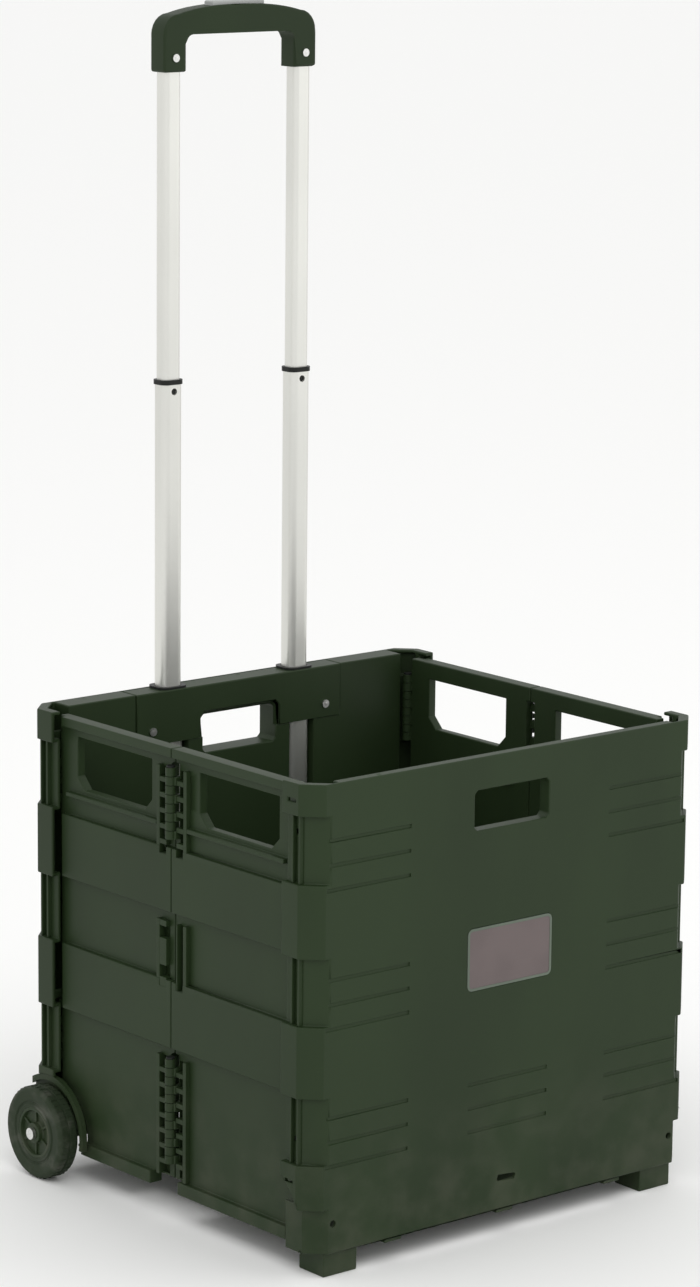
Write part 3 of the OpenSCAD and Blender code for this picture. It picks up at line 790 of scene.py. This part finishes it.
@dataclass
class FoldingSides:
    """The four half side panels with the pockets beside their hinge and sunk inner cells."""

    shop: Workshop
    edge: float = 0.9 * MM
    pocket: tuple[float, float] = (6.6 * MM, 15.8 * MM)
    pocket_depth: float = 3.5 * MM
    pocket_past: float = 8 * MM
    pocket_gap: float = 1 * MM
    strip: tuple[float, float] = (15.6 * MM, 20 * MM)
    band: float = 4.4 * MM
    zones: tuple[tuple[float, float], ...] = ((0.037, 0.1395), (0.1975, 0.2545), (0.3095, 0.3835))
    rung_pitch: float = 13 * MM
    rung_height: float = 4.2 * MM
    rung_round: float = 0.5 * MM
    stop_zone: int = 1
    stop_width: float = 1.6 * MM
    stop_rungs: tuple[tuple[float, float], ...] = ((0.1975, 0.2065), (0.2165, 0.2395), (0.2495, 0.2545))
    barrel: float = 4.5 * MM
    plate: float = 8 * MM
    root: float = 0.3 * MM
    cell_depth: float = 2.2 * MM
    cell_past: float = 2 * MM
    cell_span: tuple[float, float] = (20 * MM, 112 * MM)
    cell_rows: tuple[tuple[float, float], ...] = ((0.040, 0.095), (0.107, 0.196), (0.212, 0.310))

    def build(self) -> None:
        """Builds the four halves."""
        for end in End:
            right = f"{end.name.lower()}_right_side"
            shape = Mould.rounded(right, self.edge, self.cutters(right, end))
            for side in Side:
                node = f"{end.name.lower()}_{side.name.lower()}_side"
                mesh = shape.copy()
                if side is Side.LEFT:
                    mesh.transform(Matrix.Scale(-1, 4, (1, 0, 0)))
                    mesh.flip_normals()
                self.shop.piece(f"{node}_moulded", mesh, self.shop.body_of[node], self.shop.slot_of[node],
                                replaces=[node])
                self.ladder(node, side, end)

    def cutters(self, node: str, end: End) -> list[bpy.types.Mesh]:
        """Everything sunk into a right half.

        Args:
            node: the half.
            end: front or rear.

        Returns:
            The cutters.
        """
        plate_out = self.outer_face(node, Side.RIGHT)
        plate_in = plate_out - self.plate
        seam = self.middle()
        cutters = []
        for bottom, top in self.zones:
            y0, y1 = sorted(seam + end.value * y for y in self.pocket)
            cutters.append(Mould.block((plate_out - self.pocket_depth, y0, bottom + self.pocket_gap),
                                       (plate_out + self.pocket_past, y1, top - self.pocket_gap)))
        for bottom, top in self.cell_rows:
            y0, y1 = sorted(seam + end.value * y for y in self.cell_span)
            cutters.append(Mould.block((plate_in - self.cell_past, y0, bottom),
                                       (plate_in + self.cell_depth, y1, top)))
        return cutters

    def ladder(self, node: str, side: Side, end: End) -> None:
        """The upright strip and the rungs that frame the pockets beside the middle hinge.

        Args:
            node: the half.
            side: its side.
            end: front or rear.
        """
        plate_out = self.outer_face(node, side)
        top = plate_out + side.value * self.band
        root = plate_out - side.value * (self.pocket_depth + self.root)
        seam = self.middle()

        def bar(x: float, span: tuple[float, float], bottom: float, height: float) -> bpy.types.Mesh:
            """A rounded bar from an X out to the bands' face, over a span measured from the seam."""
            x0, x1 = sorted((x, top))
            y0, y1 = sorted(seam + end.value * y for y in span)
            return Mould.block((x0, y0, bottom), (x1, y1, bottom + height), self.rung_round)

        for level, (bottom, ceiling) in enumerate(self.zones):
            name = f"{node}_strip_{level + 1}"
            strip = bar(plate_out - side.value * self.root, self.strip, bottom - self.root,
                        ceiling - bottom + 2 * self.root)
            self.shop.piece(name, strip, self.shop.body_of[node], "body_plastic")
            rungs = []
            if level != self.stop_zone:
                count = int((ceiling - bottom) / self.rung_pitch)
                rung = bar(root, self.pocket, 0.0, self.rung_height)
                start = bottom + (ceiling - bottom - (count - 1) * self.rung_pitch - self.rung_height) / 2
                rungs.append(self.shop.row(rung, count, (0, 0, start), (0, 0, self.rung_pitch)))
            elif end is End.REAR:
                rungs = [bar(root, self.pocket, z0, z1 - z0) for z0, z1 in self.stop_rungs]
            else:
                span = (self.pocket[0], self.pocket[0] + self.stop_width)
                rungs = [bar(root, span, bottom, ceiling - bottom)]
            for number, mesh in enumerate(rungs):
                self.shop.piece(f"{node}_rungs_{level + 1}_{number + 1}", mesh, self.shop.body_of[node],
                                "body_plastic")

    def outer_face(self, node: str, side: Side) -> float:
        """X of a half's plate between its raised bands.

        Args:
            node: the half.
            side: its side.

        Returns:
            The place of the face.
        """
        low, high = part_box(node)
        inner = low.x if side is Side.RIGHT else high.x
        return inner + side.value * (self.barrel + self.plate)

    @staticmethod
    def middle() -> float:
        """Y of the crease between the halves."""
        low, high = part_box("mid_hinge_pins_left")
        return (low.y + high.y) / 2


@dataclass
class Handle:
    """The grip, its button and spring, the collars and the rim bushings."""

    shop: Workshop
    grip_edge: float = 2.4 * MM
    button_edge: float = 1.6 * MM
    bushing_edge: float = 0.6 * MM
    collar_edge: float = 0.4 * MM
    wire: float = 0.45 * MM
    turns: float = 3.5

    def build(self) -> None:
        """Builds the handle's pieces."""
        self.shop.round_node("grip", self.grip_edge, finish=self.shop.finishes.grip)
        self.shop.round_node("release_button", self.button_edge)
        for side in Side:
            self.shop.round_node(f"rim_bushing_{side.name.lower()}", self.bushing_edge)
            self.shop.round_node(f"middle_collar_{side.name.lower()}", self.collar_edge)
        self.springs()

    def springs(self) -> None:
        """A coil in place of the button spring's plain sleeve."""
        low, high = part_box("button_spring")
        foot = ((low.x + high.x) / 2, (low.y + high.y) / 2, low.z + self.wire)
        mesh = self.shop.coil.build(bpy.data.meshes.new("empty"), Turns=self.turns,
                                    Radius=(high.x - low.x) / 2 - self.wire,
                                    Height=high.z - low.z - 2 * self.wire, Wire=self.wire, Foot=foot,
                                    Finish=self.shop.finishes.by_slot["steel"])
        spring = self.shop.piece("button_coil", mesh, "upper_stage", "steel", replaces=["button_spring"])
        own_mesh(spring)


@dataclass
class Hardware:
    """Domed rivet heads."""

    shop: Workshop
    steps: int = 28
    arc_steps: int = 6
    rise: float = 1.3 * MM
    flange_share: float = 0.25
    root: float = 0.2 * MM
    seat: float = 1.2 * MM

    def dome(self, radius: float) -> bpy.types.Mesh:
        """A domed head on a short flange, standing out along -Y from the origin.

        Args:
            radius: radius of the head.

        Returns:
            The mesh.
        """
        flange = self.flange_share
        profile = [(0.0, self.root), (radius, self.root), (radius, -flange * self.rise)]
        profile += [(radius * math.cos(t), -self.rise * (flange + (1 - flange) * math.sin(t)))
                    for t in (math.pi / 2 * i / self.arc_steps for i in range(1, self.arc_steps + 1))]
        mesh = Mould.lathe(profile, Vector((0, 0, 0)), Side.RIGHT, self.steps)
        mesh.transform(Euler((0, 0, math.pi / 2)).to_matrix().to_4x4())
        return mesh

    def build(self) -> None:
        """Builds every head."""
        for node, name in (("cover_rivets", "cover_rivet_heads"), ("grip_rivets", "grip_rivet_heads")):
            low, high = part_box(node)
            radius = (high.z - low.z) / 2
            head = self.dome(radius)
            start = (low.x + radius, low.y + self.seat, (low.z + high.z) / 2)
            span = high.x - low.x - 2 * radius
            mesh = self.shop.row(head, 2, start, (span, 0, 0))
            self.shop.piece(name, mesh, self.shop.body_of[node], "steel")


@dataclass
class Wheels:
    """Both wheels and their brackets."""

    shop: Workshop
    tread_count: int = 44
    web_count: int = 6
    shoulder: float = 4 * MM
    tread_height: float = 0.5 * MM
    groove: float = 1.2 * MM
    bore: float = 4.08 * MM
    boss: float = 9 * MM
    bracket_edge: float = 0.6 * MM

    def build(self) -> None:
        """Builds both sides."""
        for side in Side:
            self.wheel(side)
            self.shop.round_node(f"wheel_bracket_{side.name.lower()}", self.bracket_edge)

    def wheel(self, side: Side) -> None:
        """One wheel: tyre, treads, and hub with webs.

        Args:
            side: its side.
        """
        name = side.name.lower()
        low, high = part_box(f"tyre_{name}")
        radius = (high.z - low.z) / 2
        width = high.x - low.x
        near = low.x if side is Side.RIGHT else high.x
        centre = Vector((near, (low.y + high.y) / 2, (low.z + high.z) / 2))
        hub_low, hub_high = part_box(f"wheel_hub_{name}")
        hub = (hub_high.z - hub_low.z) / 2
        crown = radius - self.tread_height
        soft = self.shoulder
        groove = self.groove
        profile = [(hub, 1.2 * MM), (hub + 5 * MM, 0.6 * MM), (radius - soft - 2 * MM, 0.3 * MM)]
        profile += Mould.arc((crown - soft, soft), soft, -90, 0)
        profile += [(crown, width / 2 - groove), (crown - groove, width / 2 - groove / 2),
                    (crown - groove, width / 2 + groove / 2), (crown, width / 2 + groove)]
        profile += Mould.arc((crown - soft, width - soft), soft, 0, 90)
        profile += [(radius - soft - 2 * MM, width - 0.3 * MM), (hub + 6 * MM, width - 0.8 * MM),
                    (hub + 5 * MM, width - 1.8 * MM), (hub + 3.6 * MM, width - 1.8 * MM),
                    (hub + 2.6 * MM, width - 0.9 * MM), (hub, width - 1.2 * MM)]
        self.shop.piece(f"tyre_{name}_turned", Mould.lathe(profile, centre, side), f"wheel_{name}", "tyre",
                        replaces=[f"tyre_{name}"])
        bar = Mould.block((3 * MM, -0.9 * MM, crown - 0.8 * MM),
                          (width / 2 - 1.6 * MM, 0.9 * MM, radius - 0.05 * MM), 0.2 * MM)
        if side is Side.LEFT:
            bar.transform(Matrix.Scale(-1, 4, (1, 0, 0)))
            bar.flip_normals()
        for row, shift in enumerate((0.0, width / 2 - 1.4 * MM)):
            start = centre + Vector((side.value * shift, 0, 0))
            mesh = self.shop.row(bar, self.tread_count, start, turn=(2 * math.pi / self.tread_count, 0, 0))
            self.shop.piece(f"tread_{name}_{row + 1}", mesh, f"wheel_{name}", "tyre")
        self.hub(side, centre, hub, width)

    def hub(self, side: Side, centre: Vector, radius: float, width: float) -> None:
        """The dished hub with its webs.

        Args:
            side: its side.
            centre: point on the axis at the wheel's inner face.
            radius: radius of the hub.
            width: width of the wheel.
        """
        name = side.name.lower()
        bore, boss = self.bore, self.boss
        profile = [(bore, 0.2 * MM), (boss, 0.2 * MM), (boss + 1 * MM, 2 * MM), (radius - 0.1 * MM, 2 * MM),
                   (radius - 0.1 * MM, width - 1.4 * MM), (radius - 1.1 * MM, width - 1.0 * MM),
                   (radius - 2.6 * MM, width - 1.4 * MM), (radius - 3.4 * MM, width - 4.2 * MM),
                   (boss + 1.4 * MM, width - 4.6 * MM), (boss, width - 3.4 * MM),
                   (boss - 0.4 * MM, width - 0.4 * MM), (boss - 1.2 * MM, width - 0.05 * MM),
                   (bore, width - 0.05 * MM)]
        self.shop.piece(f"wheel_hub_{name}_turned", Mould.lathe(profile, centre, side), f"wheel_{name}",
                        "wheel_plastic", replaces=[f"wheel_hub_{name}"])
        web = Mould.block((-1.6 * MM, -1.1 * MM, boss - 0.5 * MM),
                          (1.6 * MM, 1.1 * MM, radius - 3 * MM), 0.4 * MM)
        start = centre + Vector((side.value * (width - 4.4 * MM), 0, 0))
        mesh = self.shop.row(web, self.web_count, start, turn=(2 * math.pi / self.web_count, 0, 0))
        self.shop.piece(f"hub_webs_{name}", mesh, f"wheel_{name}", "wheel_plastic")


@dataclass
class Label:
    """The blank label plate and its raised border."""

    shop: Workshop
    corner: float = 5 * MM
    border: float = 2.2 * MM
    lap: float = 0.3 * MM
    face_sink: float = 0.15 * MM
    border_stand: float = 0.1 * MM

    def outline(self, inset: float) -> list[tuple[float, float]]:
        """Rounded outline of the plate in X and Z.

        Args:
            inset: how far inside the plate's edge it lies.

        Returns:
            The points in order.
        """
        low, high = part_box("label_plate")
        x0, x1, z0, z1 = low.x + inset, high.x - inset, low.z + inset, high.z - inset
        r = self.corner - inset
        points = []
        corners = ((x1 - r, z0 + r, -90), (x1 - r, z1 - r, 0), (x0 + r, z1 - r, 90), (x0 + r, z0 + r, 180))
        for cx, cz, start in corners:
            points += Mould.arc((cx, cz), r, start, start + 90, 6)
        return points

    def slab(self, points: Sequence[tuple[float, float]], front: float, back: float,
             hole: Sequence[tuple[float, float]] = ()) -> bpy.types.Mesh:
        """A slab between two planes, with an optional hole of the same number of points.

        Args:
            points: outline in X and Z.
            front: Y of the front face.
            back: Y of the back face.
            hole: outline of the hole.

        Returns:
            The closed mesh.
        """
        bm = bmesh.new()
        loops = [[bm.verts.new((x, y, z)) for x, z in outline]
                 for outline in ([points, hole] if hole else [points]) for y in (front, back)]
        count = len(points)
        if hole:
            order = (loops[0], loops[1], loops[3], loops[2])
            for near, far in zip(order, order[1:] + order[:1]):
                for i in range(count):
                    k = (i + 1) % count
                    bm.faces.new((near[i], near[k], far[k], far[i]))
        else:
            for i in range(count):
                k = (i + 1) % count
                bm.faces.new((loops[0][i], loops[0][k], loops[1][k], loops[1][i]))
            bm.faces.new(loops[0])
            bm.faces.new(loops[1])
        bmesh.ops.recalc_face_normals(bm, faces=bm.faces)
        return Mould.to_mesh(bm, "slab")

    def build(self) -> None:
        """Builds the plate and its border."""
        low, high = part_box("label_plate")
        plate = self.slab(self.outline(self.border - self.lap), low.y + self.face_sink, high.y)
        ring = self.slab(self.outline(0.0), low.y - self.border_stand, high.y, self.outline(self.border))
        self.shop.piece("label_face", plate, "front", "label", replaces=["label_plate"])
        self.shop.piece("label_border", ring, "front", "label", self.shop.finishes.border)


@dataclass
class Studio:
    """Camera, lights and floor."""

    azimuth: float = 39.81
    elevation: float = 11.42
    roll: float = 0.57
    distance: float = 3619.68 * MM
    aside: float = -11.3 * MM
    aim_height: float = 462.02 * MM
    focal: float = 4339.5
    frame_height: int = 1287
    sensor: float = 36.0
    floor_reach: float = 40.0
    light_aim: Point = (0, 0, 0.35)

    def build(self) -> None:
        """Sets up the studio."""
        self.camera()
        self.floor()
        self.lights()
        bpy.context.scene.view_settings.view_transform = "Standard"

    def camera(self) -> None:
        """The camera, aimed at the middle of the crate's depth."""
        a, e, r = (math.radians(v) for v in (self.azimuth, self.elevation, self.roll))
        back = Vector((-math.sin(a) * math.cos(e), -math.cos(a) * math.cos(e), math.sin(e)))
        right = (-back).cross(Vector((0, 0, 1))).normalized()
        up = right.cross(-back)
        low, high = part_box("front_panel")[0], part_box("back_panel")[1]
        aim = Vector((0, (low.y + high.y) / 2, self.aim_height))
        place = aim + right * self.aside + back * self.distance
        axis_x = right * math.cos(r) + up * math.sin(r)
        axis_y = up * math.cos(r) - right * math.sin(r)
        data = bpy.data.cameras.new("camera")
        data.sensor_width = self.sensor
        data.lens = self.focal / self.frame_height * self.sensor
        camera = bpy.data.objects.new("camera", data)
        turn = Matrix((axis_x, axis_y, back)).transposed().to_4x4()
        camera.matrix_world = Matrix.Translation(place) @ turn
        bpy.context.scene.collection.objects.link(camera)
        bpy.context.scene.camera = camera

    def floor(self) -> None:
        """A pale matt floor."""
        bm = bmesh.new()
        bmesh.ops.create_grid(bm, x_segments=1, y_segments=1, size=self.floor_reach)
        mesh = Mould.to_mesh(bm, "floor")
        shader = Shader("pale_floor")
        shader.set(Base_Color=(0.93, 0.93, 0.92), Roughness=0.9, Specular_IOR_Level=0.1)
        mesh.materials.append(shader.material)
        obj = bpy.data.objects.new("studio_floor", mesh)
        bpy.context.scene.collection.objects.link(obj)

    def lights(self) -> None:
        """An even white surround, a broad key on the left and a soft fill on the right."""
        world = bpy.data.worlds.new("studio")
        world.use_nodes = True
        background = world.node_tree.nodes["Background"]
        background.inputs["Color"].default_value = (1.0, 1.0, 1.0, 1.0)
        background.inputs["Strength"].default_value = 1.0
        bpy.context.scene.world = world
        lamps = (("key", (-1.6, -2.6, 3.2), 26.0, 1.8), ("fill", (2.8, -2.2, 1.6), 10.0, 2.2))
        for name, place, power, size in lamps:
            data = bpy.data.lights.new(name, "AREA")
            data.energy = power
            data.size = size
            light = bpy.data.objects.new(name, data)
            light.location = place
            aim = Vector(self.light_aim) - Vector(place)
            light.rotation_euler = aim.to_track_quat("-Z", "Y").to_euler()
            bpy.context.scene.collection.objects.link(light)


def dress_remaining(shop: Workshop) -> None:
    """Gives each frame node that still shows its procedural finish.

    Args:
        shop: the shared tools.
    """
    for node, obj in frame["nodes"].items():
        if not obj.hide_render:
            for slot in obj.material_slots:
                slot.material = shop.finishes.by_slot[shop.slot_of[node]]


def main() -> None:
    """Builds the studio and the trolley, sub-assembly by sub-assembly."""
    logging.basicConfig(level=logging.INFO, format="%(name)s: %(message)s")
    Studio().build()
    shop = Workshop()
    Trays(shop).build()
    FoldingSides(shop).build()
    shop.round_node("floor_panel", FLOOR_EDGE)
    shop.round_node("tube_cover", COVER_EDGE)
    Handle(shop).build()
    Hardware(shop).build()
    Wheels(shop).build()
    Label(shop).build()
    dress_remaining(shop)


if __name__ == "__main__":
    main()
